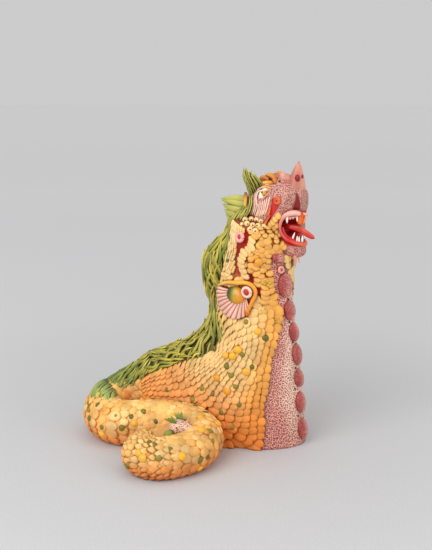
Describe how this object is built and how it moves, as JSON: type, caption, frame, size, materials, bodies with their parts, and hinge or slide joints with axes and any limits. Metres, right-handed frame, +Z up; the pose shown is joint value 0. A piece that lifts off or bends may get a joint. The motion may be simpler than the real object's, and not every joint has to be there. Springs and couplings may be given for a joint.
{
  "type": "ceramic beast sculpture",
  "caption": "One-piece fired clay beast: upright scaled neck with an open-mouthed head, a leaf-lock mane, and a coiled tail whose tip is a small second head; stands on its flat foot.",
  "frame": {"origin": "middle of the footprint, at the floor the piece stands on", "axes": "+Z up along the neck, +X the way the neck's belly and the tongue point, -Y the side that carries the fan ornament and the coil"},
  "size_m": [0.4312, 0.3479, 0.526],
  "materials": {
    "fired_clay": "matt, hand-painted"
  },
  "bodies": {
    "root": {"beast": "fired_clay"}
  },
  "joints": []
}
